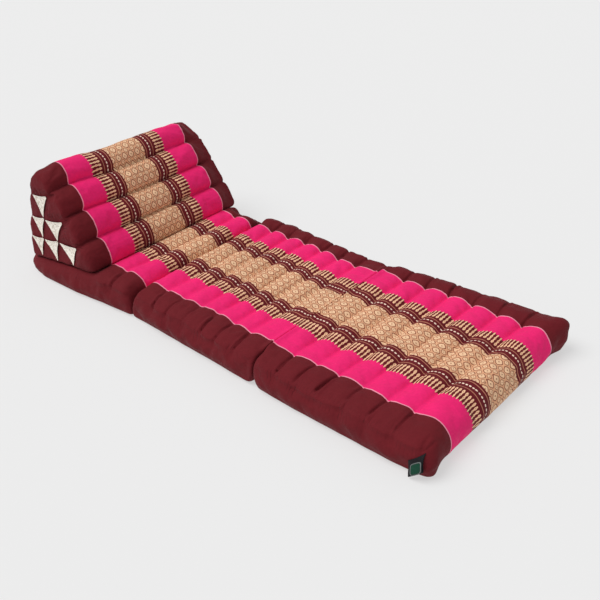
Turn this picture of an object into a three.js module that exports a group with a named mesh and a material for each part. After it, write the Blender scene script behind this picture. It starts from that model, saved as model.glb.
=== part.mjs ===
// Folding floor cushion: a quilted mat in three sewn sections with a triangular headrest on the
// back section. Millimetres, +Z up. The mat lies along X, its foot at +X, its near long side at -Y.
// Lengths along the mat are measured from the fold between the back and the middle section, and
// the whole object is centred over the origin at the end.
import * as THREE from 'three';

// Driving dimensions
const seamGap = 0.3;
const valleyHeight = 76;
const crestHeight = 89;
const backFold = 0;
const footFold = 439;
const backEnd = -420;
const footEnd = 926;

// Stitch lines across each section, measured along the mat
const backStitches = [-360, -303, -246, -189, -133, -74];
const middleStitches = [74, 133, 190, 248, 307.5, 365];
const footStitches = [504, 567, 631, 697, 766, 831];

// Width of the mat along its length, with the slant of the stitch lines (x shift for each y) and
// how far the middle of the width is drawn back from the sides
const outline = [
  { x: -420, near: -266, far: 262, slant: 0.022, bow: 0 },
  { x: -320, near: -289, far: 271, slant: 0.020, bow: 0 },
  { x: -190, near: -288, far: 270, slant: 0.016, bow: 0 },
  { x: -87, near: -278, far: 268, slant: 0.000, bow: 0 },
  { x: 0, near: -272, far: 267, slant: -0.020, bow: 0 },
  { x: 70, near: -274, far: 275, slant: -0.034, bow: 0 },
  { x: 190, near: -281, far: 272, slant: -0.028, bow: 0 },
  { x: 307, near: -286, far: 265, slant: -0.004, bow: 0 },
  { x: 438, near: -295, far: 259, slant: 0.004, bow: 0 },
  { x: 440, near: -296, far: 271, slant: 0.004, bow: 0 },
  { x: 567, near: -303, far: 288, slant: 0.008, bow: 0 },
  { x: 697, near: -305, far: 297, slant: 0.022, bow: 0 },
  { x: 831, near: -307, far: 304, slant: 0.032, bow: 3 },
  { x: 926, near: -304, far: 304, slant: 0.032, bow: 16 },
];

// Half of a cross-section from the bottom round the side to the top: distance in from the
// side, and the share of the section's height
const sideProfile = [
  { inset: 62, rise: 0 },
  { inset: 16, rise: 0 },
  { inset: 6, rise: 0.04 },
  { inset: 1.5, rise: 0.14 },
  { inset: 0, rise: 0.33 },
  { inset: 1.5, rise: 0.58 },
  { inset: 6, rise: 0.78 },
  { inset: 15, rise: 0.9 },
  { inset: 32, rise: 0.965 },
  { inset: 60, rise: 0.99 },
  { inset: 100, rise: 1 },
  { inset: 180, rise: 1 },
];

// How a section's end is rounded: heights of its end face, and the lengths over which the top,
// the bottom and the sides are drawn in
const endForms = {
  back: { faceLow: 14, faceHigh: 34, topRun: 26, bottomRun: 20, sideRun: 58, sideDraw: 52 },
  foot: { faceLow: 18, faceHigh: 50, topRun: 40, bottomRun: 20, sideRun: 32, sideDraw: 27 },
  hingedLow: { faceLow: 3, faceHigh: 30, topRun: 30, bottomRun: 8, sideRun: 16, sideDraw: 9 },
  hingedHigh: { faceLow: 44, faceHigh: 73, topRun: 13, bottomRun: 20, sideRun: 15, sideDraw: 8 },
};
const endStations = [0, 2.5, 7, 13, 21, 30];

// The slope that the headrest presses into the back section, and how steeply the mat rises
// again in front of it
const seat = { backX: -400, backZ: 40, frontX: -126, frontZ: 78, frontRise: 0.9 };

// Headrest: stitch lines down its front and back, each tube's swell, and how far the rounding
// of the ends draws each stretch in. The list runs round the profile from the front foot.
const headrest = {
  nearEnd: -266.5,
  farEnd: 268,
  slant: 0.0217,
  ends: [{ in: 0, draw: 1 }, { in: 3, draw: 0.5 }, { in: 9, draw: 0.18 }, { in: 20, draw: 0 }],
  middles: [0.2, 0.4, 0.6, 0.8],
};
const headrestLobes = [
  { x: -131, z: 82, swell: 20, draw: 12, steps: 6 },
  { x: -174.5, z: 140.6, swell: 20, draw: 12, steps: 6 },
  { x: -220.7, z: 197.7, swell: 20, draw: 12, steps: 6 },
  { x: -266.9, z: 254.8, swell: 19, draw: 12, steps: 6 },
  { x: -306, z: 305, swell: 7, draw: 12, steps: 4 },
  { x: -338, z: 287, swell: 5, draw: 6, steps: 3 },
  { x: -352, z: 236, swell: 7, draw: 2, steps: 4 },
  { x: -370, z: 170, swell: 7, draw: 2, steps: 4 },
  { x: -384, z: 107, swell: 6, draw: 2, steps: 3 },
  { x: -391, z: 58, swell: 3, draw: 2, steps: 2 },
  { x: -382, z: 0, swell: 0, draw: 3, steps: 4 },
  { x: -148, z: 0, swell: 2, draw: 8, steps: 2 },
];

// White cloth triangles on the headrest's ends, one in the upper front half of each cell
const facing = { thickness: 1.4, margin: 0.9 };
const facingCorners = [
  { row: 1, back: [-342, 240.5], front: [-280, 251], foot: [-308.5, 179] },
  { row: 2, back: [-361.5, 173], front: [-308.5, 179], foot: [-323.5, 115] },
  { row: 2, back: [-305, 177], front: [-223, 196.5], foot: [-261.5, 125.5] },
  { row: 3, back: [-376, 110], front: [-323.5, 115], foot: [-337, 56] },
  { row: 3, back: [-320, 116], front: [-261.5, 125.5], foot: [-271, 62] },
  { row: 3, back: [-257, 126], front: [-179, 135], foot: [-203, 73] },
];

// Side tab: a folded ribbon sewn into the near side seam close to the foot
const tab = { x: 890, width: 34, low: 6, high: 46, thickness: 1.6, lean: 0.06, tuck: 1.4 };

const clothColours = { maroon: 0x6c2228, cream: 0xe4e0d6, black: 0x14161a };

const clothFinish = (color) => new THREE.MeshStandardMaterial({ color, roughness: 0.85, metalness: 0 });

// Value of one column of a table at x, easing from row to row
function columnAt(table, column, x) {
  const last = table.length - 1;
  if (x <= table[0].x) return table[0][column];
  if (x >= table[last].x) return table[last][column];
  const next = table.findIndex((row) => row.x > x);
  const before = table[next - 1];
  const after = table[next];
  return THREE.MathUtils.lerp(before[column], after[column], (x - before.x) / (after.x - before.x));
}

// A quarter circle's rise from 0 to 1 over a run
const quarterRise = (distance, run) => {
  const share = Math.min(1, distance / run);
  return Math.sqrt(1 - (1 - share) ** 2);
};

const seatHeight = (x) => {
  const slope = (seat.frontZ - seat.backZ) / (seat.frontX - seat.backX);
  return seat.backZ + (x - seat.backX) * slope + Math.max(0, x - seat.frontX) * seat.frontRise;
};

// Top of the mat: an arch over each channel, left standing over the outer half of an end channel
function channelTop(x, edges) {
  const index = Math.min(edges.length - 2, Math.max(0, edges.findIndex((edge) => edge > x) - 1));
  const share = (x - edges[index]) / (edges[index + 1] - edges[index]);
  const outerHalf = (index === 0 && share < 0.5) || (index === edges.length - 2 && share > 0.5);
  const arch = outerHalf ? 1 : Math.sin(Math.PI * THREE.MathUtils.clamp(share, 0, 1)) ** 0.75;
  return THREE.MathUtils.lerp(valleyHeight, crestHeight, arch);
}

// One closed body between rings of equal count, each end closed by a fan
function loft(rings) {
  const positions = [];
  const faces = [];
  const count = rings[0].length;
  rings.forEach((ring) => ring.forEach((point) => positions.push(point.x, point.y, point.z)));
  for (let ring = 0; ring + 1 < rings.length; ring += 1) {
    for (let side = 0; side < count; side += 1) {
      const here = ring * count + side;
      const beside = ring * count + ((side + 1) % count);
      faces.push(here, here + count, beside, beside, here + count, beside + count);
    }
  }
  const closeEnd = (start, flip) => {
    const middle = positions.length / 3;
    const centre = new THREE.Vector3();
    for (let side = 0; side < count; side += 1) {
      centre.add(new THREE.Vector3().fromArray(positions, (start + side) * 3));
    }
    centre.divideScalar(count);
    positions.push(centre.x, centre.y, centre.z);
    for (let side = 0; side < count; side += 1) {
      const here = start + side;
      const beside = start + ((side + 1) % count);
      faces.push(...(flip ? [middle, beside, here] : [middle, here, beside]));
    }
  };
  closeEnd(0, false);
  closeEnd((rings.length - 1) * count, true);
  const geometry = new THREE.BufferGeometry();
  geometry.setAttribute('position', new THREE.Float32BufferAttribute(positions, 3));
  geometry.setIndex(faces);
  geometry.computeVertexNormals();
  return geometry;
}

function clothPiece(name, geometry, color) {
  const mesh = new THREE.Mesh(geometry, clothFinish(color));
  mesh.name = name;
  return mesh;
}

// Ring across the mat at x, seen from the foot, starting on the bottom at the near side
function matRing(x, section) {
  const fromStart = x - section.start;
  const fromEnd = section.end - x;
  const atStart = fromStart < fromEnd;
  const form = endForms[atStart ? section.startForm : section.endForm];
  const distance = Math.min(fromStart, fromEnd);
  const edges = [section.start, ...section.stitches, section.end];
  const fullTop = section.pressed ? Math.min(channelTop(x, edges), seatHeight(x)) : channelTop(x, edges);
  const faceHigh = Math.min(form.faceHigh, fullTop * 0.9);
  const top = faceHigh + (fullTop - faceHigh) * quarterRise(distance, form.topRun);
  const bottom = form.faceLow * (1 - quarterRise(distance, form.bottomRun));
  const drawn = form.sideDraw * (1 - quarterRise(distance, form.sideRun));
  const near = columnAt(outline, 'near', x) + drawn;
  const far = columnAt(outline, 'far', x) - drawn;
  const slant = columnAt(outline, 'slant', x);
  const bow = columnAt(outline, 'bow', x);
  const place = (y, rise) => {
    const shift = slant * y - bow * (1 - (y / near) ** 2);
    const z = bottom + (top - bottom) * rise;
    return new THREE.Vector3(x + shift, y, section.pressed ? Math.min(z, seatHeight(x + shift)) : z);
  };
  const nearHalf = sideProfile.map((row) => place(near + row.inset, row.rise));
  const farHalf = sideProfile.map((row) => place(far - row.inset, row.rise)).reverse();
  return [...nearHalf, ...farHalf];
}

function matSection(name, section) {
  const edges = [section.start, ...section.stitches, section.end];
  const stations = new Set();
  endStations.forEach((distance) => stations.add(section.start + distance).add(section.end - distance));
  for (let channel = 0; channel + 1 < edges.length; channel += 1) {
    [0, 0.25, 0.5, 0.75].forEach((share) => {
      const x = THREE.MathUtils.lerp(edges[channel], edges[channel + 1], share);
      const clear = Math.min(x - section.start, section.end - x) - endStations.at(-1);
      if (clear > 4) stations.add(x);
    });
  }
  const ordered = [...stations].sort((a, b) => a - b);
  return clothPiece(name, loft(ordered.map((x) => matRing(x, section))), clothColours.maroon);
}

// Profile of the headrest in the plane across its length, as points with an inward direction
function headrestProfile() {
  const points = [];
  const count = headrestLobes.length;
  const corner = (lobe) => new THREE.Vector2(lobe.x, lobe.z > 0 ? lobe.z : seatHeight(lobe.x) + seamGap);
  headrestLobes.forEach((lobe, index) => {
    const start = corner(lobe);
    const end = corner(headrestLobes[(index + 1) % count]);
    const outward = new THREE.Vector2(end.y - start.y, start.x - end.x).normalize();
    for (let step = 0; step < lobe.steps; step += 1) {
      const share = step / lobe.steps;
      const swell = lobe.swell * Math.sin(Math.PI * share) ** 0.8;
      const point = start.clone().lerp(end, share).addScaledVector(outward, step ? swell : 0);
      points.push({ place: point, draw: lobe.draw });
    }
  });
  const total = points.length;
  points.forEach((point, index) => {
    const before = points[(index + total - 1) % total].place;
    const after = points[(index + 1) % total].place;
    point.inward = new THREE.Vector2(before.y - after.y, after.x - before.x).normalize();
  });
  return points;
}

function headrestBody() {
  const profile = headrestProfile();
  const length = headrest.farEnd - headrest.nearEnd;
  const stations = [
    ...headrest.ends.map((end) => ({ y: headrest.nearEnd + end.in, draw: end.draw })),
    ...headrest.middles.map((share) => ({ y: headrest.nearEnd + share * length, draw: 0 })),
    ...headrest.ends.map((end) => ({ y: headrest.farEnd - end.in, draw: end.draw })).reverse(),
  ];
  const rings = stations.map((station) => profile.map((point) => {
    const drawn = point.place.clone().addScaledVector(point.inward, point.draw * station.draw);
    const x = drawn.x + headrest.slant * station.y;
    return new THREE.Vector3(x, station.y, Math.max(drawn.y, seatHeight(x) + seamGap));
  }));
  return clothPiece('wedge_headrest', loft(rings), clothColours.maroon);
}

// A cloth triangle lying on one end of the headrest, drawn in a little from its three corners
function facingPiece(name, corners, endY) {
  const outside = Math.sign(endY);
  const inner = endY + outside * seamGap;
  const outer = inner + outside * facing.thickness;
  const middle = new THREE.Vector2();
  const flat = [corners.back, corners.front, corners.foot].map((pair) => new THREE.Vector2(...pair));
  flat.forEach((point) => middle.addScaledVector(point, 1 / flat.length));
  const inRadius = Math.abs((flat[1].x - flat[0].x) * (flat[2].y - flat[0].y)
    - (flat[2].x - flat[0].x) * (flat[1].y - flat[0].y))
    / (flat[0].distanceTo(flat[1]) + flat[1].distanceTo(flat[2]) + flat[2].distanceTo(flat[0]));
  const shrink = 1 - facing.margin / inRadius;
  const ringAt = (y) => flat.map((point) => {
    const drawn = middle.clone().lerp(point, shrink);
    return new THREE.Vector3(drawn.x + headrest.slant * endY, y, drawn.y);
  });
  const rings = outside < 0 ? [ringAt(inner), ringAt(outer)] : [ringAt(outer), ringAt(inner)];
  return clothPiece(name, loft(rings), clothColours.cream);
}

// The ribbon tab hangs flat against the swell of the near side
function sideTab() {
  const near = columnAt(outline, 'near', tab.x - tab.width / 2);
  const steps = [0, 0.25, 0.5, 0.75, 1];
  const back = near - seamGap + tab.tuck;
  const rings = steps.map((share) => {
    const z = THREE.MathUtils.lerp(tab.low, tab.high, share);
    const out = tab.lean * (tab.high - z);
    const left = tab.x - tab.width / 2;
    const right = tab.x + tab.width / 2;
    const corners = [[left, back], [right, back], [right, back - tab.thickness], [left, back - tab.thickness]];
    return corners.map(([x, y]) => new THREE.Vector3(x, y - out, z));
  });
  return clothPiece('side_tab', loft(rings), clothColours.black);
}

const model = new THREE.Group();
model.add(
  matSection('mat_section_back', {
    start: backEnd,
    end: backFold - seamGap / 2,
    stitches: backStitches,
    startForm: 'back',
    endForm: 'hingedLow',
    pressed: true,
  }),
  matSection('mat_section_middle', {
    start: backFold + seamGap / 2,
    end: footFold - seamGap / 2,
    stitches: middleStitches,
    startForm: 'hingedLow',
    endForm: 'hingedHigh',
    pressed: false,
  }),
  matSection('mat_section_foot', {
    start: footFold + seamGap / 2,
    end: footEnd,
    stitches: footStitches,
    startForm: 'hingedHigh',
    endForm: 'foot',
    pressed: false,
  }),
  headrestBody(),
  sideTab(),
);
facingCorners.forEach((corners, index) => {
  model.add(facingPiece(`facing_near_${index + 1}`, corners, headrest.nearEnd));
  model.add(facingPiece(`facing_far_${index + 1}`, corners, headrest.farEnd));
});

const reach = new THREE.Box3().setFromObject(model);
const centre = reach.getCenter(new THREE.Vector3());
model.position.set(-centre.x, -centre.y, 0);

const group = new THREE.Group();
group.add(model);

export default group;
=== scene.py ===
import bpy
import math
import numpy as np
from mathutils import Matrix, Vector
from mathutils.bvhtree import BVHTree


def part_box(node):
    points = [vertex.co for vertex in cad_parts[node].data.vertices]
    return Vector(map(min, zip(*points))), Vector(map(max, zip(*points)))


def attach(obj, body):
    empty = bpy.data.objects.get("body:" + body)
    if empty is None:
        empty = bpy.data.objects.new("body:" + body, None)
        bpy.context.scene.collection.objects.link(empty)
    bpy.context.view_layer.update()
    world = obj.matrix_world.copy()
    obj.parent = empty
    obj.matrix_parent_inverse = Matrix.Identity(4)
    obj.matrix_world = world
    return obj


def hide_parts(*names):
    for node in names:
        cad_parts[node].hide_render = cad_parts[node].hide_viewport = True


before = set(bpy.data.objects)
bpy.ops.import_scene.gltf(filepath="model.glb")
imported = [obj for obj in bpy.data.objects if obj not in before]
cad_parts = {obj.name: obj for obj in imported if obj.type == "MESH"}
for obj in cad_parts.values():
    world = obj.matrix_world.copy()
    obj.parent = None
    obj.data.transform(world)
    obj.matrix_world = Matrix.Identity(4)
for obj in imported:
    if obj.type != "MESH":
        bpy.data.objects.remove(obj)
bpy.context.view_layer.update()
scene = bpy.context.scene

# The camera stands where the photograph was taken from

cameraView = {
    "place": (1.3437, -1.5262, 1.2887),
    "tilt": 1.0142,  # up from straight down
    "roll": 0.0011,
    "turn": 0.6889,
    "lens": 55.86,
}


def deselectAll():
    bpy.ops.object.select_all(action="DESELECT")


def pick(piece):
    deselectAll()
    piece.select_set(True)
    bpy.context.view_layer.objects.active = piece


def makeCamera():
    turn = (cameraView["tilt"], cameraView["roll"], cameraView["turn"])
    deselectAll()
    bpy.ops.object.camera_add(location=cameraView["place"], rotation=turn)
    camera = bpy.context.object
    camera.name = "photoCamera"
    camera.data.lens = cameraView["lens"]
    camera.data.sensor_width = 36
    camera.data.clip_end = 60
    scene.camera = camera


makeCamera()
print("camera is placed")

# Number helpers for the shaping of the pieces


def smoothRise(value, low, high):  # 0 below low, 1 above high
    share = np.clip((value - low) / (high - low), 0, 1)
    return share * share * (3 - 2 * share)


def hump(value, width):  # 1 at 0, and almost 0 at twice the width
    return np.exp(-((value / width) ** 2))


def unevenness(places, size, seed):  # soft lumps of about this size, from -1 to 1
    rng = np.random.default_rng(seed)
    total = np.zeros(len(places))
    waves = 9
    for wave in range(waves):
        heading = rng.normal(size=3)
        heading /= np.linalg.norm(heading)
        pace = 2 * math.pi / (size * rng.uniform(0.7, 1.6))
        total += np.sin(places @ heading * pace + rng.uniform(0, 6.28))
    return total / math.sqrt(waves * 2)


def readPlaces(piece):
    flat = np.zeros(len(piece.data.vertices) * 3)
    piece.data.vertices.foreach_get("co", flat)
    return flat.reshape(-1, 3)


def readNormals(piece):
    flat = np.zeros(len(piece.data.vertices) * 3)
    piece.data.vertices.foreach_get("normal", flat)
    return flat.reshape(-1, 3)


def writePlaces(piece, places):
    piece.data.vertices.foreach_set("co", places.ravel())
    piece.data.update()


def shadeSmooth(piece):
    pick(piece)
    bpy.ops.object.shade_smooth()


# Where things are on the mat: a station runs along it, from the fold behind the middle section

matPlan = {
    "origin": (-0.255078, 0.0022868),  # that fold's middle, in the frame
    "stations": (-0.42, -0.32, -0.19, -0.087, 0, 0.07, 0.19, 0.307, 0.438, 0.567, 0.697, 0.831, 0.926),
    "slants": (0.022, 0.020, 0.016, 0, -0.020, -0.034, -0.028, -0.004, 0.004, 0.008, 0.022, 0.032, 0.032),
    "bows": (0, 0, 0, 0, 0, 0, 0, 0, 0, 0, 0, 0.003, 0.016),
    "nearSides": (0.266, 0.289, 0.288, 0.278, 0.272, 0.274, 0.281, 0.286, 0.295, 0.303, 0.305, 0.307, 0.304),
    "foldBack": 0.0,
    "foldFoot": 0.439,
    "footEnd": 0.926,
    "edgeHeight": 0.074,  # where the border turns down
}

# The woven bands wander a little over the mat, as they were sewn

bandPlan = {
    "canonical": (-0.204, -0.0742, 0.0742, 0.204),  # pale line, dashes, dashes, pale line
    "stations": (-0.42, 0.079, 0.137, 0.191, 0.25, 0.311, 0.369, 0.438, 0.441,
                 0.506, 0.562, 0.625, 0.692, 0.755, 0.824, 0.93),
    "nearPale": (-0.204, -0.204, -0.2036, -0.2019, -0.2009, -0.2078, -0.2118, -0.212, -0.2182,
                 -0.2182, -0.2144, -0.2152, -0.2151, -0.2186, -0.2152, -0.2152),
    "nearDot": (-0.066, -0.0647, -0.0663, -0.0665, -0.07, -0.0755, -0.0788, -0.0777, -0.0752,
                -0.0752, -0.071, -0.0718, -0.072, -0.0739, -0.074, -0.074),
    "farDot": (0.083, 0.0811, 0.0784, 0.085, 0.0826, 0.0743, 0.0677, 0.0602, 0.078,
               0.078, 0.0803, 0.0825, 0.0865, 0.082, 0.0875, 0.0875),
    "farPale": (0.2027, 0.2027, 0.2008, 0.2058, 0.2021, 0.1928, 0.1919, 0.1912, 0.2095,
                0.2095, 0.2126, 0.2193, 0.2176, 0.2165, 0.2171, 0.2171),
}


def stationOf(places):  # station along the mat, and place across it
    x = places[:, 0] - matPlan["origin"][0]
    y = places[:, 1] - matPlan["origin"][1]
    station = x.copy()
    for step in range(4):
        slant = np.interp(station, matPlan["stations"], matPlan["slants"])
        bow = np.interp(station, matPlan["stations"], matPlan["bows"])
        near = np.interp(station, matPlan["stations"], matPlan["nearSides"])
        station = x - slant * y + bow * (1 - (y / near) ** 2)
    return station, y


def acrossBands(station, y):  # the place across, in the weaver's own measure
    knots = [np.interp(station, bandPlan["stations"], bandPlan[name])
             for name in ("nearPale", "nearDot", "farDot", "farPale")]
    marks = bandPlan["canonical"]
    across = np.where(y < knots[0], marks[0] + (y - knots[0]), 0.0)
    for low in range(3):
        share = (y - knots[low]) / (knots[low + 1] - knots[low])
        inside = (y >= knots[low]) & (y < knots[low + 1])
        across = np.where(inside, marks[low] + share * (marks[low + 1] - marks[low]), across)
    return np.where(y >= knots[3], marks[3] + (y - knots[3]), across)


# Filling: a copy of the solid is remeshed, swollen by cloth under pressure, and capped

fillingRules = {
    "voxel": 0.006,
    "shrink": 0.0025,
    "pressure": 4.0,
    "frames": 20,
    "slack": -0.02,  # spare cloth, which puckers at the seams
}


def copySolid(nodeName, pieceName):
    piece = bpy.data.objects.new(pieceName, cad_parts[nodeName].data.copy())
    scene.collection.objects.link(piece)
    pick(piece)
    piece.data.materials.clear()
    bpy.ops.object.mode_set(mode="EDIT")
    bpy.ops.mesh.select_all(action="SELECT")
    bpy.ops.mesh.remove_doubles(threshold=0.00005)
    bpy.ops.object.mode_set(mode="OBJECT")
    for name in [layer.name for layer in piece.data.uv_layers]:
        piece.data.uv_layers.remove(piece.data.uv_layers[name])
    return piece


def applyModifier(piece, kind, **values):
    pick(piece)
    modifier = piece.modifiers.new(kind.lower(), kind)
    for name, value in values.items():
        setattr(modifier, name, value)
    bpy.ops.object.modifier_apply(modifier=modifier.name)


def swell(piece, pinned, allowed):  # allowed is how far each point may move
    start = readPlaces(piece)
    pick(piece)
    group = piece.vertex_groups.new(name="held")
    for weight in (1.0, 0.5):
        group.add([int(i) for i in np.flatnonzero(np.round(pinned * 2) / 2 == weight)], weight, "REPLACE")
    modifier = piece.modifiers.new("filling", "CLOTH")
    cloth = modifier.settings
    cloth.use_pressure = True
    cloth.uniform_pressure_force = fillingRules["pressure"]
    cloth.effector_weights.gravity = 0
    cloth.vertex_group_mass = group.name
    cloth.shrink_min = fillingRules["slack"]
    cloth.quality = 4
    modifier.collision_settings.use_collision = False
    modifier.point_cache.frame_start = 1
    modifier.point_cache.frame_end = fillingRules["frames"]
    for step in range(1, fillingRules["frames"] + 1):
        scene.frame_set(step)
    bpy.ops.object.modifier_apply(modifier=modifier.name)
    scene.frame_set(1)
    piece.vertex_groups.clear()
    moved = readPlaces(piece) - start
    length = np.linalg.norm(moved, axis=1)
    share = np.minimum(1, allowed / np.maximum(length, 1e-9))
    writePlaces(piece, start + moved * share[:, None])


def fillSolid(nodeName, pieceName, heldBy, allowedBy):
    piece = copySolid(nodeName, pieceName)
    applyModifier(piece, "REMESH", mode="VOXEL", voxel_size=fillingRules["voxel"])
    applyModifier(piece, "SMOOTH", factor=0.5, iterations=4)
    places = readPlaces(piece)
    normals = readNormals(piece)
    allowed = allowedBy(places, normals)
    inward = fillingRules["shrink"] * np.clip(allowed / 0.004, 0, 1)
    writePlaces(piece, places - normals * inward[:, None])
    swell(piece, heldBy(places, normals), allowed)
    applyModifier(piece, "SMOOTH", factor=0.5, iterations=2)
    applyModifier(piece, "SUBSURF", levels=1, render_levels=1)
    shadeSmooth(piece)
    return piece


# The three sections of the mat

matSections = {
    "matBack": {
        "node": "mat_section_back",
        "stitches": (-0.36, -0.303, -0.246, -0.189, -0.133, -0.074),
        "from": -0.42,
        "to": 0.0,
        "swelling": 0.006,
        "farLift": -0.018,  # of the border on the far side
        "seed": 3,
    },
    "matMiddle": {
        "node": "mat_section_middle",
        "stitches": (0.074, 0.133, 0.190, 0.248, 0.3075, 0.365),
        "from": 0.0,
        "to": 0.439,
        "swelling": 0.007,
        "farLift": 0.0065,
        "seed": 5,
    },
    "matFoot": {
        "node": "mat_section_foot",
        "stitches": (0.504, 0.567, 0.631, 0.697, 0.766, 0.831),
        "from": 0.44,
        "to": 0.926,
        "swelling": 0.007,
        "farLift": 0.0075,
        "seed": 7,
    },
}

matSewing = {
    "seamDepth": 0.0035,
    "seamWidth": 0.0060,
    "channelDepth": 0.017,  # from crest to valley, before it is filled out
    "filledAcross": (-0.32, -0.270, -0.240, -0.205, -0.150, -0.100, 0.150, 0.208, 0.250, 0.27, 0.32),
    "filledShare": (0.55, 0.60, 0.68, 0.36, 0.15, 0.0, 0.0, 0.05, 0.60, 0.62, 0.50),  # of a valley's depth
    "nearLift": 0.001,
    "foldLift": 0.010,  # where the middle and foot sections meet, almost without a dip
    "footAcross": (-0.30, -0.20, -0.10, 0.0, 0.10, 0.18, 0.25, 0.285, 0.31),
    "footPush": (0.002, -0.002, -0.004, -0.006, -0.010, -0.013, -0.010, -0.002, 0.0),
    "cornerPush": {"nearFoot": 0.009, "farFoot": -0.009, "farFootTop": 0.012, "nearBack": -0.004},
    "foldReach": 0.03,  # how far from a fold the cloth is held
    "edgeSquare": 0.003,  # how far the edges at that meeting are drawn up
    "edgeGap": 0.0015,  # from the meeting to each edge
    "edgeWidth": 0.0013,
    "edgeShift": 0.0006,  # how far they are drawn together
    "tabCreases": (((0.645, 0.070), (0.662, 0.094)), ((0.640, 0.068), (0.634, 0.084))),
    "tabCreaseDepth": 0.0024,
    "tabCreaseWidth": 0.003,
    "creaseStart": 0.214,
    "creaseDepth": 0.0080,
    "creaseWidth": 0.0033,
    "creaseEnd": 0.288,  # how far across the border a crease runs
    "sideFill": 0.0025,  # how far the long sides are filled out
    "lump": 0.0012,  # how far each channel's end stands out along the side
    "ridge": 0.0028,
    "ridgeHeight": 0.072,
    "dent": 0.0020,
    "unevenness": 0.0012,
    "fineUnevenness": 0.0008,
}


def freeOfFolds(station, section):  # 0 at a fold, 1 away from it
    free = np.ones(len(station))
    reach = matSewing["foldReach"]
    if section["from"] >= matPlan["foldBack"]:
        free *= smoothRise(station, section["from"], section["from"] + reach)
    if section["to"] < matPlan["footEnd"]:
        free *= smoothRise(-station, -section["to"], -section["to"] + reach)
    return free


def underHeadrest(station, y, z):
    inside = smoothRise(-station, 0.100, 0.122) * smoothRise(-np.abs(y), -0.292, -0.268)
    return inside * smoothRise(z, 0.020, 0.034)


def makeMatSection(name):
    section = matSections[name]

    def heldBy(places, normals):
        station, y = stationOf(places)
        z = places[:, 2]
        held = (z < 0.010).astype(float)
        for stitch in section["stitches"]:
            held = np.maximum(held, (np.abs(station - stitch) < 0.005) & (z > 0.05) & (np.abs(y) < 0.245))
        held = np.maximum(held, freeOfFolds(station, section) < 0.05)
        return np.maximum(held, underHeadrest(station, y, z) > 0.5)

    def allowedBy(places, normals):
        station, y = stationOf(places)
        z = places[:, 2]
        allowed = section["swelling"] * smoothRise(z, 0.004, 0.020)
        return allowed * freeOfFolds(station, section) * (1 - underHeadrest(station, y, z))

    piece = fillSolid(section["node"], name, heldBy, allowedBy)
    sewMatSection(piece, section)
    print("padded", name, len(piece.data.polygons))
    return piece


def toStitches(station, section):  # how far the nearest stitch line is along the mat
    stitches = np.array(section["stitches"])
    return np.min(np.abs(station[:, None] - stitches[None, :]), axis=1)


def sewMatSection(piece, section):
    places = readPlaces(piece)
    station, y = stationOf(places)
    z = places[:, 2]  # changes as the places do
    reach = np.abs(y)
    inBorder = smoothRise(reach, matSewing["creaseStart"] - 0.010, matSewing["creaseStart"] + 0.014)
    free = (1 - underHeadrest(station, y, z)) * smoothRise(freeOfFolds(station, section), 0, 0.8)
    sink, valley = sewChannels(section, station, y, inBorder)
    lifted = np.where(y < 0, matSewing["nearLift"], section["farLift"])
    lifted = lifted * smoothRise(reach, 0.215, 0.250)
    places[:, 2] += (lifted - sink) * smoothRise(z, 0.045, 0.066) * free
    shapeMeeting(places, station, reach)
    shapeMatCorners(places, station, y)
    fillMatSides(places, section, station, y, free, valley)
    rough = matSewing["unevenness"] * unevenness(places, 0.075, section["seed"] + 40)
    fine = matSewing["fineUnevenness"] * unevenness(places, 0.026, section["seed"] + 50)
    rough += fine * (0.4 + 0.6 * inBorder)
    lift = rough * smoothRise(z, 0.006, 0.03) * free
    for first, last in matSewing["tabCreases"]:
        crease = hump(distanceTo(first, last, places[:, 0], z), matSewing["tabCreaseWidth"])
        lift -= matSewing["tabCreaseDepth"] * crease * smoothRise(-y, 0.25, 0.28)
    places += readNormals(piece) * lift[:, None]
    writePlaces(piece, places)
    applyModifier(piece, "SMOOTH", factor=0.25, iterations=1)


def sewChannels(section, station, y, inBorder):  # how deep the cloth sinks, and where its valleys are
    reach = np.abs(y)
    rng = np.random.default_rng(section["seed"])
    halfChannel = np.mean(np.diff(section["stitches"])) / 2
    arch = np.sin(np.clip(toStitches(station, section) / halfChannel, 0, 1) * math.pi / 2) ** 0.75
    filled = np.interp(y, matSewing["filledAcross"], matSewing["filledShare"])
    sink = -matSewing["channelDepth"] * (1 - arch) * filled
    valley = np.zeros(len(y))
    for stitch in section["stitches"]:
        lean = 0.012 * rng.uniform(-1, 1) * (reach - 0.21) / 0.08 * inBorder
        depth = rng.uniform(0.75, 1.2)
        reached = matSewing["creaseEnd"] + rng.uniform(-0.012, 0.010)
        near = station - stitch - lean
        seam = matSewing["seamDepth"] * hump(near, matSewing["seamWidth"]) * (1 - inBorder) * (1 - filled)
        crease = matSewing["creaseDepth"] * depth * hump(near, matSewing["creaseWidth"]) * inBorder
        sink += seam + crease * smoothRise(-reach, -reached, -reached + 0.02)
        valley = np.maximum(valley, hump(near, 0.016))
    return sink, valley


def shapeMeeting(places, station, reach):  # where the middle and foot sections touch
    z = places[:, 2]
    fromMeeting = station - matPlan["foldFoot"]
    within = smoothRise(-reach, -0.262, -0.232)
    lift = matSewing["foldLift"] * hump(fromMeeting, 0.0085) * smoothRise(z, 0.050, 0.066)
    places[:, 2] += lift * within
    meeting = smoothRise(z, 0.055, 0.070) * within
    square = hump(np.abs(fromMeeting) - matSewing["edgeGap"], matSewing["edgeWidth"])
    places[:, 2] += matSewing["edgeSquare"] * square * meeting
    places[:, 0] -= matSewing["edgeShift"] * np.sign(fromMeeting) * hump(fromMeeting, 0.004) * meeting


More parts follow.
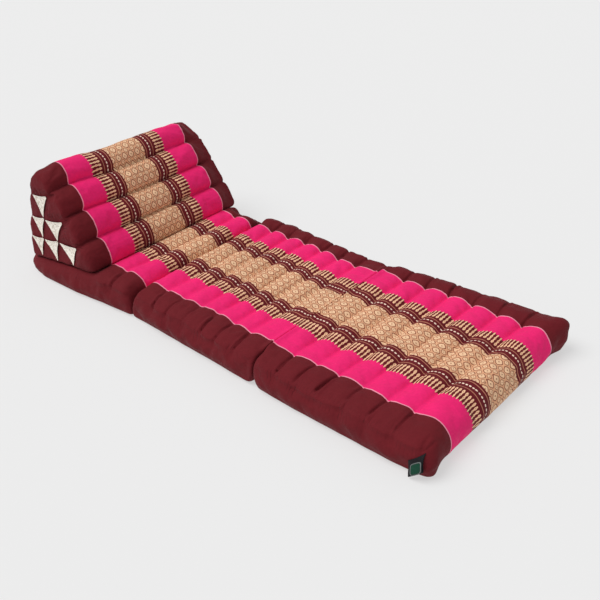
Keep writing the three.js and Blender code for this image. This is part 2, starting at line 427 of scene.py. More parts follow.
def shapeMatCorners(places, station, y):  # and the foot end, which is drawn in at its middle
    z = places[:, 2]
    push = matSewing["cornerPush"]
    footPush = np.interp(y, matSewing["footAcross"], matSewing["footPush"])
    places[:, 0] += footPush * smoothRise(station, 0.850, 0.925)
    low = smoothRise(-z, -0.050, -0.012)
    atFoot = smoothRise(station, 0.870, 0.920)
    places[:, 0] += push["nearFoot"] * smoothRise(-y, 0.24, 0.29) * atFoot * smoothRise(-z, -0.080, -0.030)
    places[:, 0] += push["farFoot"] * smoothRise(y, 0.19, 0.27) * atFoot * low
    places[:, 2] += push["farFootTop"] * smoothRise(y, 0.235, 0.28) * atFoot * smoothRise(z, 0.035, 0.060)
    places[:, 0] += push["nearBack"] * smoothRise(-y, 0.15, 0.26) * smoothRise(-station, 0.34, 0.39)


def fillMatSides(places, section, station, y, free, valley):
    z = places[:, 2]
    outward = np.sign(y)
    side = np.interp(station, matPlan["stations"], matPlan["nearSides"])
    onSide = smoothRise(np.abs(y), side - 0.035, side - 0.008) * smoothRise(z, 0.008, 0.030)
    onSide *= smoothRise(-z, -0.100, -0.080)
    places[:, 1] += outward * matSewing["sideFill"] * onSide * free
    lumps = matSewing["lump"] * (1 - 2 * valley) * smoothRise(z, 0.040, 0.062)
    line = np.c_[station, station * 0, station * 0]
    ridgeAt = matSewing["ridgeHeight"] + 0.006 * unevenness(line, 0.16, section["seed"] + 20)
    ridge = matSewing["ridge"] * (hump(z - ridgeAt, 0.005) - 0.8 * hump(z - ridgeAt + 0.014, 0.008))
    dent = matSewing["dent"] * unevenness(places, 0.11, section["seed"] + 31)
    places[:, 1] += outward * onSide * free * (lumps + ridge + dent)


def clothLength(section, station, y, z, normals):  # over the channels, at marks along the section
    top = (normals[:, 2] > 0.2) & (np.abs(y) < 0.19)
    marks = np.arange(section["from"] + 0.004, section["to"] - 0.004, 0.003)
    heights = np.full(len(marks), np.nan)
    for index, mark in enumerate(marks):
        here = top & (np.abs(station - mark) < 0.003)
        if np.any(here):
            heights[index] = np.mean(z[here])
    known = ~np.isnan(heights)
    heights = np.interp(marks, marks[known], heights[known])
    slope = np.gradient(heights, marks)
    steps = np.sqrt(1 + slope[1:] ** 2) * np.diff(marks)
    return marks, heights, np.concatenate([[0], np.cumsum(steps)]) + marks[0]


def mapMatSection(piece, section):  # along and across the cloth, and which cloth it is
    places = readPlaces(piece)
    normals = readNormals(piece)
    station, y = stationOf(places)
    z = places[:, 2]
    reach = np.abs(y)
    marks, heights, length = clothLength(section, station, y, z, normals)
    along = np.interp(station, marks, length)
    for end, heading in (("to", 1), ("from", -1)):
        shoulder = section[end] - heading * 0.030
        height = np.interp(shoulder, marks, heights)
        turned = heading * 1.06 * np.hypot(station - shoulder, z - height)
        beyond = (station - shoulder) * heading > 0
        along = np.where(beyond, np.interp(shoulder, marks, length) + turned, along)
    down = np.clip(matPlan["edgeHeight"] - z, 0, 1) * smoothRise(reach, 0.235, 0.262)
    across = acrossBands(station, y) + np.sign(y) * down
    under = (normals[:, 2] < -0.5) & (z < 0.02)
    writeClothMap(piece, along, across, np.where(under, 0.0, 1.0))
    atEdge = smoothRise(reach, 0.262, 0.282) * (0.35 + 0.65 * hump(toStitches(station, section), 0.016))
    writeGathers(piece, 0.7 * atEdge * hump(z - 0.062, 0.018))


def writeClothMap(piece, along, across, patterned):
    layer = piece.data.attributes.new("clothMap", "FLOAT_VECTOR", "POINT")
    layer.data.foreach_set("vector", np.c_[along, across, patterned].astype(np.float32).ravel())


def writeGathers(piece, gathers):  # 1 where the cloth lies in fine pleats
    layer = piece.data.attributes.new("gathers", "FLOAT", "POINT")
    layer.data.foreach_set("value", gathers.astype(np.float32))


# The headrest: four tubes in front, a grid of folded triangles at each end

headrestPlan = {
    "node": "wedge_headrest",
    "lean": 0.0217,  # how far it turns for each metre across
    "valleys": ((-0.1745, 0.1406), (-0.2207, 0.1977), (-0.2669, 0.2548)),
    "frontFoot": (-0.131, 0.082),
    "seat": ((-0.400, 0.040), (-0.126, 0.078)),  # the mat's top below its back and its front
    "seatDip": 0.0015,
    "nearEnd": -0.2665,
    "farEnd": 0.268,
    "swelling": 0.006,
    "topBack": (-0.338, 0.287),
    "tubeRise": (0.023, 0.023, 0.023, 0.034),  # of each tube above its seams, from the lowest
    "tubeShape": 0.55,
    "flatEnds": {"near": 0.25, "far": 0.92},  # the tubes flatten towards their ends
    "seamDepth": 0.0040,
    "seamWidth": 0.0060,
    "nearLift": 0.014,  # the near end stands a little higher
    "farDrop": 0.001,
    "cornerDrop": 0.008,  # the top tube's near end hangs down
    "frontSettle": 0.006,  # how far the lowest tube sinks into the mat
    "dome": {"near": 0.0060, "far": -0.0015},  # how far the tubes' ends stand out beyond the grid
    "creaseDepth": {"near": 0.0050, "far": 0.0015},
    "cellHollow": 0.0030,
    "pleat": 0.0019,
    "bandEnd": 0.2085,  # how far the pattern reaches to each side
    "bandBack": -0.332,  # and over the top
    "turnMiddle": (-0.360, 0.100),  # the cloth's length is measured round this place
    "seed": 11,
}


def sectionOf(places):  # the headrest's own measure: forward, across and up
    y = places[:, 1] - matPlan["origin"][1]
    forward = places[:, 0] - matPlan["origin"][0] - headrestPlan["lean"] * y
    return forward, y, places[:, 2]


def distanceTo(first, last, across, up):  # from points of a section to a line between two places
    run = np.array(last) - np.array(first)
    share = ((across - first[0]) * run[0] + (up - first[1]) * run[1]) / (run @ run)
    share = np.clip(share, 0, 1)
    return np.hypot(across - first[0] - share * run[0], up - first[1] - share * run[1])


def insideOutline(outline, across, up):
    inside = np.zeros(len(across), bool)
    for place, corner in enumerate(outline):
        before = outline[place - 1]
        crosses = (corner[1] > up) != (before[1] > up)
        rise = before[1] - corner[1] if before[1] != corner[1] else 1e-9
        meets = corner[0] + (up - corner[1]) * (before[0] - corner[0]) / rise
        inside ^= crosses & (across < meets)
    return inside


def cornersOf(nodeName):  # back, ear and foot of one facing, in the headrest's own measure
    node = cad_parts[nodeName]
    places = readPlaces(node)
    forward, y, up = sectionOf(places)
    spots = np.unique(np.round(np.c_[forward, up], 5), axis=0)
    best = (0, None)
    for a in range(len(spots)):
        for b in range(a + 1, len(spots)):
            for c in range(b + 1, len(spots)):
                one, two = spots[b] - spots[a], spots[c] - spots[a]
                area = abs(one[0] * two[1] - one[1] * two[0])
                if area > best[0]:
                    best = (area, (spots[a], spots[b], spots[c]))
    corners = sorted(best[1], key=lambda spot: spot[1])
    foot = corners[0]
    back, ear = sorted(corners[1:], key=lambda spot: spot[0])
    return {"back": tuple(back), "ear": tuple(ear), "foot": tuple(foot)}


facingCorners = {side: [cornersOf(f"facing_{side}_{number}") for number in range(1, 7)]
                 for side in ("near", "far")}


def aboveSeat(places):  # height over the mat's top
    forward, y, up = sectionOf(places)
    back, front = headrestPlan["seat"]
    return up - np.interp(forward, (back[0], front[0]), (back[1], front[1]))


def makeHeadrest():
    plan = headrestPlan

    def heldBy(places, normals):
        forward, y, up = sectionOf(places)
        held = (aboveSeat(places) < 0.010).astype(float)
        for valley in plan["valleys"]:
            near = np.hypot(forward - valley[0], up - valley[1]) < 0.010
            held = np.maximum(held, near & (np.abs(y) < 0.25))
        atEnd = (np.abs(normals[:, 1]) > 0.8) & (forward < -0.20)
        return np.maximum(held, atEnd)

    def allowedBy(places, normals):
        forward, y, up = sectionOf(places)
        calm = 1 - 0.75 * smoothRise(y, 0.215, 0.255)
        return plan["swelling"] * calm * smoothRise(aboveSeat(places), 0.004, 0.030)

    piece = fillSolid(plan["node"], "headrest", heldBy, allowedBy)
    sewHeadrest(piece)
    print("padded headrest", len(piece.data.polygons))
    return piece


def sewHeadrest(piece):
    plan = headrestPlan
    places = readPlaces(piece)
    forward, y, up = sectionOf(places)
    places = roundTubes(places)
    over = aboveSeat(places)
    lift = plan["nearLift"] * smoothRise(-y, 0.02, 0.22) * smoothRise(up, 0.080, 0.270)
    lift -= plan["farDrop"] * smoothRise(y, 0.05, 0.25) * smoothRise(up, 0.200, 0.300)
    lift -= plan["cornerDrop"] * smoothRise(-y, 0.205, 0.262) * smoothRise(up, 0.235, 0.300)
    lift -= plan["frontSettle"] * smoothRise(forward, -0.215, -0.165) * smoothRise(-over, -0.040, -0.012)
    lift -= plan["seatDip"] * smoothRise(-over, -0.012, -0.004)
    places[:, 2] += lift
    forward, y, up = sectionOf(places)
    free = smoothRise(aboveSeat(places), 0.002, 0.022)
    for side, outward, end in (("near", -1, plan["nearEnd"]), ("far", 1, plan["farEnd"])):
        atEnd = smoothRise(y * outward, abs(end) - 0.048, abs(end) - 0.012)
        places[:, 1] += outward * domeShape(side, forward, up) * free * atEnd
    rough = 0.0012 * unevenness(places, 0.07, plan["seed"])
    fine = 0.0006 * unevenness(places * (1, 0.3, 1), 0.010, plan["seed"] + 4)
    rough += fine * smoothRise(np.abs(y), 0.205, 0.25)
    places += readNormals(piece) * (rough * free)[:, None]
    writePlaces(piece, places)
    applyModifier(piece, "SMOOTH", factor=0.4, iterations=1)


def roundTubes(places):  # each tube is brought to a full round between its seams
    plan = headrestPlan
    forward, y, up = sectionOf(places)
    moved = places.copy()
    knots = [plan["frontFoot"], *plan["valleys"], plan["topBack"]]
    flatten = plan["flatEnds"]["near"] * smoothRise(-y, 0.212, 0.262)
    flatten += plan["flatEnds"]["far"] * smoothRise(y, 0.200, 0.262)
    for low, high, rise in zip(knots, knots[1:], plan["tubeRise"]):
        run = np.array(high) - np.array(low)
        length = np.linalg.norm(run)
        out = np.array((run[1], -run[0])) / length
        share = ((forward - low[0]) * run[0] + (up - low[1]) * run[1]) / length ** 2
        height = (forward - low[0]) * out[0] + (up - low[1]) * out[1]
        front = (share >= 0) & (share <= 1) & (height > -0.014)
        body = front & (np.abs(y) < 0.17)
        marks = np.linspace(0.01, 0.99, 29)
        usual = np.array([np.median(height[body & (np.abs(share - mark) < 0.022)]) for mark in marks])
        target = rise * (1 - (2 * np.clip(share, 0, 1) - 1) ** 2) ** plan["tubeShape"]
        edge = smoothRise(share, 0, 0.04) * smoothRise(-share, -1, -0.96)
        seam = plan["seamDepth"] * (hump(share * length, plan["seamWidth"])
                                    + hump((1 - share) * length, plan["seamWidth"]))
        change = (target - np.interp(share, marks, usual)) * (0.35 + 0.65 * edge) - seam * (1 - flatten)
        change -= np.maximum(height + change, 0) * flatten
        change = np.where(front, change, 0)
        moved[:, 0] += out[0] * change
        moved[:, 2] += out[1] * change
    return moved


def gridEdge(side):  # the stairs between the grid and the tubes' ends
    first, third, sixth = (facingCorners[side][index] for index in (0, 2, 5))
    return [first["back"], first["ear"], first["foot"], third["ear"], third["foot"],
            sixth["ear"], sixth["foot"]]


def nearestOf(lines, forward, up):  # distance to the nearest of some lines
    return np.min([distanceTo(first, last, forward, up) for first, last in lines], axis=0)


def domeShape(side, forward, up):
    plan = headrestPlan
    stairs = gridEdge(side)
    grid = stairs + [(stairs[-1][0], -0.05), (-0.50, -0.05), (-0.50, stairs[0][1])]
    onGrid = insideOutline(grid, forward, up)
    edge = nearestOf(zip(stairs, stairs[1:]), forward, up)
    ears = (stairs[5], stairs[3], stairs[1])
    seams = nearestOf([((valley[0] + 0.01, valley[1] + 0.004), ear)
                       for valley, ear in zip(plan["valleys"], ears)], forward, up)
    dome = plan["dome"][side] * smoothRise(np.minimum(edge, seams * 1.2), 0, 0.024)
    dome -= plan["creaseDepth"][side] * hump(seams, 0.005) * smoothRise(edge, 0.001, 0.008)
    spot = np.c_[forward, up, up * 0]
    pleats = np.sin((forward + 0.25 * up) * 2 * math.pi / 0.0125 + 2.2 * unevenness(spot, 0.03, 31))
    pleats *= hump(edge - 0.012, 0.010) * smoothRise(unevenness(spot, 0.05, 37), -0.5, 0.6)
    dome += plan["pleat"] * pleats
    hollow = np.zeros(len(up))
    for corners in facingCorners[side]:
        heart = np.mean([corners["back"], corners["ear"], corners["foot"]], axis=0)
        hollow = np.maximum(hollow, hump(np.hypot(forward - heart[0], up - heart[1]), 0.020))
    return np.where(onGrid, -plan["cellHollow"] * hollow, dome)


def mapHeadrest(piece):
    plan = headrestPlan
    places = readPlaces(piece)
    forward, y, up = sectionOf(places)
    middle = plan["turnMiddle"]
    turn = np.arctan2(up - middle[1], forward - middle[0])
    radius = np.hypot(forward - middle[0], up - middle[1])
    steps = np.linspace(-math.pi, math.pi, 241)
    inBody = np.abs(y) < 0.18
    ring = np.array([np.mean(radius[inBody & (np.abs(turn - step) < 0.02)]) for step in steps])
    rim = np.c_[ring * np.cos(steps), ring * np.sin(steps)]
    length = np.concatenate([[0], np.cumsum(np.linalg.norm(np.diff(rim, axis=0), axis=1))])
    plain = (forward < plan["bandBack"]) | (np.abs(y) > plan["bandEnd"])
    writeClothMap(piece, np.interp(turn, steps, length), y, np.where(plain, 0.0, 1.0))
    gathers = np.zeros(len(up))
    for side, outward, last in (("near", -1, plan["nearEnd"]), ("far", 1, plan["farEnd"])):
        stairs = gridEdge(side)
        edge = nearestOf(zip(stairs, stairs[1:]), forward, up)
        atEnd = smoothRise(y * outward, abs(last) - 0.040, abs(last) - 0.015)
        gathers = np.maximum(gathers, hump(np.maximum(edge - 0.006, 0), 0.016) * atEnd)
    writeGathers(piece, gathers)


# Materials: cotton with woven bands, plain cotton facings, ribbon


def linear(red, green, blue):  # from the 0 to 255 colours seen on a screen
    shares = [value / 255 for value in (red, green, blue)]
    return tuple(s / 12.92 if s < 0.04045 else ((s + 0.055) / 1.055) ** 2.4 for s in shares) + (1.0,)


def calc(tree, what, first, second=None, third=None):
    node = tree.nodes.new("ShaderNodeMath")
    node.operation = what
    for socket, value in zip(node.inputs, (first, second, third)):
        if isinstance(value, (int, float)):
            socket.default_value = value
        elif value is not None:
            tree.links.new(value, socket)
    return node.outputs[0]


def inverse(tree, value):
    return calc(tree, "SUBTRACT", 1.0, value)


def distanceOf(tree, first, second):  # of a place given by its two distances at right angles
    squares = [calc(tree, "MULTIPLY", value, value) for value in (first, second)]
    return calc(tree, "SQRT", calc(tree, "ADD", *squares))


def partsOf(tree, vector):
    node = tree.nodes.new("ShaderNodeSeparateXYZ")
    tree.links.new(vector, node.inputs[0])
    return node.outputs[0], node.outputs[1], node.outputs[2]


def noiseOf(tree, place, scale, **values):
    node = tree.nodes.new("ShaderNodeTexNoise")
    node.inputs["Scale"].default_value = scale
    for name, value in values.items():
        node.inputs[name].default_value = value
    tree.links.new(place, node.inputs["Vector"])
    return node.outputs["Fac"]


def softStep(tree, value, low, high):  # 0 below low, 1 above high
    node = tree.nodes.new("ShaderNodeMapRange")
    node.interpolation_type = "SMOOTHSTEP"
    for name, given in (("Value", value), ("From Min", low), ("From Max", high)):
        if isinstance(given, (int, float)):
            node.inputs[name].default_value = given
        else:
            tree.links.new(given, node.inputs[name])
    return node.outputs[0]


def stripe(tree, value, low, high, soft=0.0005):  # 1 between low and high
    rise = softStep(tree, value, low - soft, low + soft)
    fall = softStep(tree, value, high - soft, high + soft)
    return calc(tree, "SUBTRACT", rise, fall)


def cellPlace(tree, value, pitch, offset=0.0):  # place inside one repeat, 0 at its middle
    share = calc(tree, "MULTIPLY_ADD", value, 1 / pitch, offset)
    return calc(tree, "MULTIPLY", calc(tree, "SUBTRACT", calc(tree, "FRACT", share), 0.5), pitch)


def mixColour(tree, amount, under, over):
    node = tree.nodes.new("ShaderNodeMix")
    node.data_type = "RGBA"
    for socket, value in zip((node.inputs[0], node.inputs[6], node.inputs[7]), (amount, under, over)):
        if isinstance(value, (int, float, tuple)):
            socket.default_value = value
        else:
            tree.links.new(value, socket)
    return node.outputs[2]


def newGroup(name, inputs, outputs):
    tree = bpy.data.node_groups.new(name, "ShaderNodeTree")
    kinds = {"number": "NodeSocketFloat", "colour": "NodeSocketColor", "vector": "NodeSocketVector"}
    for label, kind in inputs:
        tree.interface.new_socket(label, in_out="INPUT", socket_type=kinds[kind])
    for label, kind in outputs:
        tree.interface.new_socket(label, in_out="OUTPUT", socket_type=kinds[kind])
    return tree, tree.nodes.new("NodeGroupInput"), tree.nodes.new("NodeGroupOutput")


coverColours = {
    "Pink": linear(240, 38, 114),
    "Maroon": linear(106, 28, 35),
    "Beige": linear(246, 190, 148),
    "Cream": linear(255, 224, 184),
    "Brown": linear(128, 58, 42),
    "Tan": linear(205, 140, 112),
    "Pale": linear(244, 150, 172),
    "Tooth": linear(252, 202, 162),
    "Dash": linear(255, 226, 205),
}

bandPattern = {  # metres from the mat's middle line, and sizes in metres
    "latticeEnd": 0.0563,
    "edgeLine": (0.0618, 0.0638),
    "dashes": 0.0750,
    "dashLength": 0.0070,
    "dashWidth": 0.0039,
    "thinLine": (0.0848, 0.0866),
    "combStart": 0.0940,
    "combEnd": 0.1280,
    "paleLine": (0.2036, 0.2066),
    "toothPitch": 0.0100,
    "toothHalf": (0.0043, 0.0021),  # half its width, at its root and at its tip
    "latticeAlong": 0.0300,
    "latticeAcross": 0.0220,
    "eyeSizes": (1.0, 0.64),  # a large eye at each repeat, a small one between
    "eyeOutline": (0.0084, 0.0112),
    "eyeFilling": (0.0082, 0.0088),
    "eyeRing": (0.0040, 0.0047),
    "eyeDot": (0.0014, 0.0024),
}


def weaveEye(tree, along, across, offset, size):  # its brown work, and its filling
    outline, filling, ring, dot = ([edge * size for edge in bandPattern[name]]
                                   for name in ("eyeOutline", "eyeFilling", "eyeRing", "eyeDot"))
    flatAlong = calc(tree, "ABSOLUTE", cellPlace(tree, along, bandPattern["latticeAlong"], offset))
    flatAlong = calc(tree, "MULTIPLY", flatAlong, 0.80)
    flatAcross = calc(tree, "ABSOLUTE", cellPlace(tree, across, bandPattern["latticeAcross"], offset))
    fromEye = distanceOf(tree, flatAlong, flatAcross)
    diamond = calc(tree, "ADD", flatAlong, flatAcross)
    rounded = calc(tree, "MULTIPLY_ADD", fromEye, 0.62, calc(tree, "MULTIPLY", diamond, 0.5))
    brown = stripe(tree, rounded, *outline, 0.0004)
    ringEdge = stripe(tree, fromEye, *ring, 0.0004)
    middle = inverse(tree, softStep(tree, fromEye, *dot))
    for mark, strength in ((ringEdge, 0.40), (middle, 0.85)):
        brown = calc(tree, "MAXIMUM", brown, calc(tree, "MULTIPLY", mark, strength))
    return brown, inverse(tree, softStep(tree, rounded, *filling))


def weaveLattice(tree, given, along, across):  # staggered eyes, with crossing strokes between them
    large, small = (weaveEye(tree, along, across, offset, size)
                    for offset, size in zip((0.0, 0.5), bandPattern["eyeSizes"]))
    filling = calc(tree, "MAXIMUM", large[1], small[1])
    shares = (calc(tree, "DIVIDE", along, bandPattern["latticeAlong"]),
              calc(tree, "DIVIDE", across, bandPattern["latticeAcross"]))
    diagonals = [calc(tree, what, *shares) for what in ("ADD", "SUBTRACT")]
    strokes = 0.0
    for diagonal, other in (diagonals, diagonals[::-1]):
        spread = calc(tree, "ABSOLUTE", cellPlace(tree, diagonal, 0.25))
        cut = calc(tree, "ABSOLUTE", cellPlace(tree, other, 0.25, 0.5))
        thin = inverse(tree, softStep(tree, spread, 0.014, 0.034))
        stroke = calc(tree, "MULTIPLY", thin, softStep(tree, cut, 0.02, 0.05))
        strokes = calc(tree, "MAXIMUM", strokes, stroke)
    strokes = calc(tree, "MULTIPLY_ADD", strokes, 0.42, 0.12)
    brown = calc(tree, "MULTIPLY", inverse(tree, filling), strokes)
    brown = calc(tree, "MAXIMUM", brown, calc(tree, "MAXIMUM", large[0], small[0]))
    colour = mixColour(tree, calc(tree, "MULTIPLY", filling, 0.558), given.outputs["Beige"],
                       given.outputs["Cream"])
    return mixColour(tree, calc(tree, "MULTIPLY", brown, 0.88), colour, given.outputs["Brown"])


def weaveStripes(tree, given, colour, mirrored):  # a maroon band with two thin lines
    start = bandPattern["latticeEnd"]
    band = softStep(tree, mirrored, start - 0.0006, start + 0.0006)
    colour = mixColour(tree, band, colour, given.outputs["Maroon"])
    for name in ("edgeLine", "thinLine"):
        line = calc(tree, "MULTIPLY", stripe(tree, mirrored, *bandPattern[name]), 0.85)
        colour = mixColour(tree, line, colour, given.outputs["Tan"])
    return colour


def weaveDashes(tree, given, colour, mirrored, repeat):  # a row of them between the thin lines
    aside = calc(tree, "SUBTRACT", mirrored, bandPattern["dashes"])
    fromDash = distanceOf(tree, calc(tree, "DIVIDE", repeat, bandPattern["dashLength"] / 2),
                          calc(tree, "DIVIDE", aside, bandPattern["dashWidth"] / 2))
    dash = inverse(tree, softStep(tree, fromDash, 0.75, 1.15))
    return mixColour(tree, dash, colour, given.outputs["Dash"]), dash


def weaveTeeth(tree, given, colour, mirrored, repeat):  # a comb of beaded teeth over the pink
    start = bandPattern["combStart"]
    end = bandPattern["combEnd"]
    root, tip = bandPattern["toothHalf"]
    toothAlong = calc(tree, "ABSOLUTE", repeat)
    depth = calc(tree, "DIVIDE", calc(tree, "SUBTRACT", mirrored, start), end - start)
    inComb = softStep(tree, mirrored, start - 0.0005, start + 0.0005)
    bead = calc(tree, "COSINE", calc(tree, "MULTIPLY_ADD", depth, 6 * math.pi, -math.pi))
    taper = calc(tree, "MULTIPLY_ADD", depth, tip - root, root)
    width = calc(tree, "MULTIPLY", taper, calc(tree, "MULTIPLY_ADD", bead, 0.20, 0.62))
    tooth = softStep(tree, calc(tree, "SUBTRACT", width, toothAlong), -0.0004, 0.0004)
    ground = calc(tree, "SUBTRACT", calc(tree, "MULTIPLY_ADD", toothAlong, -0.9, end), mirrored)
    ground = softStep(tree, ground, -0.0005, 0.0005)  # its edge runs in points over the pink
    pink = calc(tree, "MULTIPLY", inComb, inverse(tree, ground))
    colour = mixColour(tree, pink, colour, given.outputs["Pink"])
    tooth = calc(tree, "MULTIPLY", calc(tree, "MULTIPLY", tooth, inComb), ground)
    colour = mixColour(tree, tooth, colour, given.outputs["Tooth"])
    eyeDepth = calc(tree, "MULTIPLY", cellPlace(tree, depth, 1 / 3), end - start)
    eye = inverse(tree, softStep(tree, distanceOf(tree, toothAlong, eyeDepth), 0.0006, 0.0015))
    eye = calc(tree, "MULTIPLY", eye, stripe(tree, depth, 0.05, 0.66, 0.02))
    colour = mixColour(tree, calc(tree, "MULTIPLY", eye, 0.8), colour, given.outputs["Brown"])
    return colour, tooth


def bandGroup():
    tree, given, put = newGroup(
        "wovenBands",
        [("Cloth Map", "vector")] + [(name, "colour") for name in coverColours],
        [("Color", "colour"), ("Height", "number")])
    along, across, patterned = partsOf(tree, given.outputs["Cloth Map"])
    mirrored = calc(tree, "ABSOLUTE", across)
    repeat = cellPlace(tree, along, bandPattern["toothPitch"])
    colour = weaveLattice(tree, given, along, across)
    colour = weaveStripes(tree, given, colour, mirrored)
    colour, dash = weaveDashes(tree, given, colour, mirrored, repeat)
    colour, tooth = weaveTeeth(tree, given, colour, mirrored, repeat)
    seam = bandPattern["paleLine"]
    border = softStep(tree, mirrored, seam[0], seam[0] + 0.0005)
    colour = mixColour(tree, border, colour, given.outputs["Maroon"])
    pale = stripe(tree, mirrored, *seam)
    colour = mixColour(tree, pale, colour, given.outputs["Pale"])
    colour = mixColour(tree, patterned, given.outputs["Maroon"], colour)
    tree.links.new(colour, put.inputs["Color"])
    raised = calc(tree, "MULTIPLY_ADD", tooth, 0.3, pale)
    raised = calc(tree, "MULTIPLY_ADD", dash, 0.4, raised)
    tree.links.new(raised, put.inputs["Height"])
    return tree


def threadGroup():  # crossing threads, with a little unevenness
    tree, given, put = newGroup(
        "crossingThreads",
        [("Cloth Map", "vector"), ("Place", "vector"), ("Thread", "number")],
        [("Height", "number"), ("Shade", "number"), ("Roughness", "number")])
    along, across = partsOf(tree, given.outputs["Cloth Map"])[:2]
    pace = calc(tree, "DIVIDE", 2 * math.pi, given.outputs["Thread"])
    warp = calc(tree, "SINE", calc(tree, "MULTIPLY", along, pace))
    weft = calc(tree, "SINE", calc(tree, "MULTIPLY", across, pace))
    weave = calc(tree, "MULTIPLY", warp, weft)
    lumps = noiseOf(tree, given.outputs["Place"], 9.0, Detail=5.0, Roughness=0.55)
    grain = noiseOf(tree, given.outputs["Place"], 150.0, Detail=3.0)
    shade = calc(tree, "MULTIPLY_ADD", lumps, 0.22, 0.77)
    shade = calc(tree, "MULTIPLY_ADD", grain, 0.24, shade)
    shade = calc(tree, "MULTIPLY_ADD", weave, 0.03, shade)
    tree.links.new(calc(tree, "MULTIPLY_ADD", grain, 0.4, weave), put.inputs["Height"])
    tree.links.new(shade, put.inputs["Shade"])
    tree.links.new(calc(tree, "MULTIPLY_ADD", lumps, 0.25, 0.62), put.inputs["Roughness"])
    return tree


def creaseGroup():  # short soft creases, stronger in some places than in others
    tree, given, put = newGroup(
        "softCreases", [("Place", "vector"), ("Scale", "number")], [("Height", "number")])
    strength = noiseOf(tree, given.outputs["Place"], 6.0)
    creases = tree.nodes.new("ShaderNodeTexNoise")
    creases.noise_type = "RIDGED_MULTIFRACTAL"
    creases.inputs["Detail"].default_value = 2.0
    creases.inputs["Distortion"].default_value = 0.6
    tree.links.new(given.outputs["Place"], creases.inputs["Vector"])
    tree.links.new(given.outputs["Scale"], creases.inputs["Scale"])
    tree.links.new(calc(tree, "MULTIPLY", creases.outputs["Fac"], strength), put.inputs["Height"])
    return tree


def pleatGroup():  # thin uneven lines across the run of the cloth
    tree, given, put = newGroup(
        "finePleats", [("Cloth Map", "vector"), ("Place", "vector"), ("Pitch", "number")],
        [("Height", "number")])
    along = partsOf(tree, given.outputs["Cloth Map"])[0]
    bend, strength = (noiseOf(tree, given.outputs["Place"], scale) for scale in (26.0, 48.0))
    turns = calc(tree, "DIVIDE", along, given.outputs["Pitch"])
    phase = calc(tree, "MULTIPLY_ADD", bend, 7.0, calc(tree, "MULTIPLY", turns, math.pi))
    wave = calc(tree, "ABSOLUTE", calc(tree, "SINE", phase))
    line = inverse(tree, softStep(tree, wave, 0.05, 0.50))
    tree.links.new(calc(tree, "MULTIPLY", line, softStep(tree, strength, 0.40, 0.56)), put.inputs["Height"])
    return tree


shaderGroups = {"bands": bandGroup(), "threads": threadGroup(), "creases": creaseGroup(),
                "pleats": pleatGroup()}


def addGroup(tree, name, **values):
    node = tree.nodes.new("ShaderNodeGroup")
    node.node_tree = shaderGroups[name]
    for label, value in values.items():
        socket = node.inputs[label.replace("_", " ")]
        if isinstance(value, (int, float, tuple)):
            socket.default_value = value
        else:
            tree.links.new(value, socket)
    return node


def newMaterial(name):
    material = bpy.data.materials.new(name)
    material.use_nodes = True
    tree = material.node_tree
    return material, tree, tree.nodes["Principled BSDF"]


def shadeColour(tree, colour, shade):
    node = tree.nodes.new("ShaderNodeVectorMath")
    node.operation = "SCALE"
    tree.links.new(colour, node.inputs[0])
    tree.links.new(shade, node.inputs["Scale"])
    return node.outputs[0]


def bumpOf(tree, height, strength, distance, before=None):
    node = tree.nodes.new("ShaderNodeBump")
    node.inputs["Strength"].default_value = strength
    node.inputs["Distance"].default_value = distance
    tree.links.new(height, node.inputs["Height"])
    if before is not None:
        tree.links.new(before, node.inputs["Normal"])
    return node.outputs[0]


def clothAttribute(tree, name):
    node = tree.nodes.new("ShaderNodeAttribute")
    node.attribute_name = name
    return node


coverFinish = {
    "thread": 0.0013,
    "creaseStrength": 0.42,
    "creaseScales": ((17.0, 0.004), (44.0, 0.0022)),  # each with its depth
    "pleatPitch": 0.0105,
    # how much darker the pleat lines are painted: painted shade in the creases
    "pleatPaintedShade": -0.42,
}


def coverMaterial():
    finish = coverFinish
    material, tree, shader = newMaterial("coverCloth")
    clothMap = clothAttribute(tree, "clothMap").outputs["Vector"]
    place = tree.nodes.new("ShaderNodeTexCoord").outputs["Object"]
    bands = addGroup(tree, "bands", Cloth_Map=clothMap, **coverColours)
    threads = addGroup(tree, "threads", Cloth_Map=clothMap, Place=place, Thread=finish["thread"])
    pleats = addGroup(tree, "pleats", Cloth_Map=clothMap, Place=place, Pitch=finish["pleatPitch"])
    gathers = clothAttribute(tree, "gathers").outputs["Fac"]
    groove = calc(tree, "MULTIPLY", pleats.outputs["Height"], gathers)
    # the pleat grooves darken the base colour: painted shade in the creases, added to the threads' uneven
    # tone
    shade = calc(tree, "MULTIPLY_ADD", groove, finish["pleatPaintedShade"], threads.outputs["Shade"])
    tree.links.new(shadeColour(tree, bands.outputs["Color"], shade), shader.inputs["Base Color"])
    tree.links.new(threads.outputs["Roughness"], shader.inputs["Roughness"])
    normal = None
    for scale, depth in finish["creaseScales"]:
        creases = addGroup(tree, "creases", Place=place, Scale=scale)
        normal = bumpOf(tree, creases.outputs["Height"], finish["creaseStrength"], depth, normal)
    normal = bumpOf(tree, calc(tree, "MULTIPLY", groove, -1.0), 0.8, 0.0016, normal)
    normal = bumpOf(tree, bands.outputs["Height"], 0.35, 0.0008, normal)
    normal = bumpOf(tree, threads.outputs["Height"], 0.25, 0.0003, normal)
    tree.links.new(normal, shader.inputs["Normal"])
    shader.inputs["Specular IOR Level"].default_value = 0.10
    shader.inputs["Sheen Weight"].default_value = 0.03
    shader.inputs["Sheen Roughness"].default_value = 0.45
    return material


coverCloth = coverMaterial()
print("materials are made")

# The padded pieces


def finishPadded(piece, nodeName):
    piece.data.materials.clear()
    piece.data.materials.append(coverCloth)
    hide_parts(nodeName)
    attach(piece, "root")


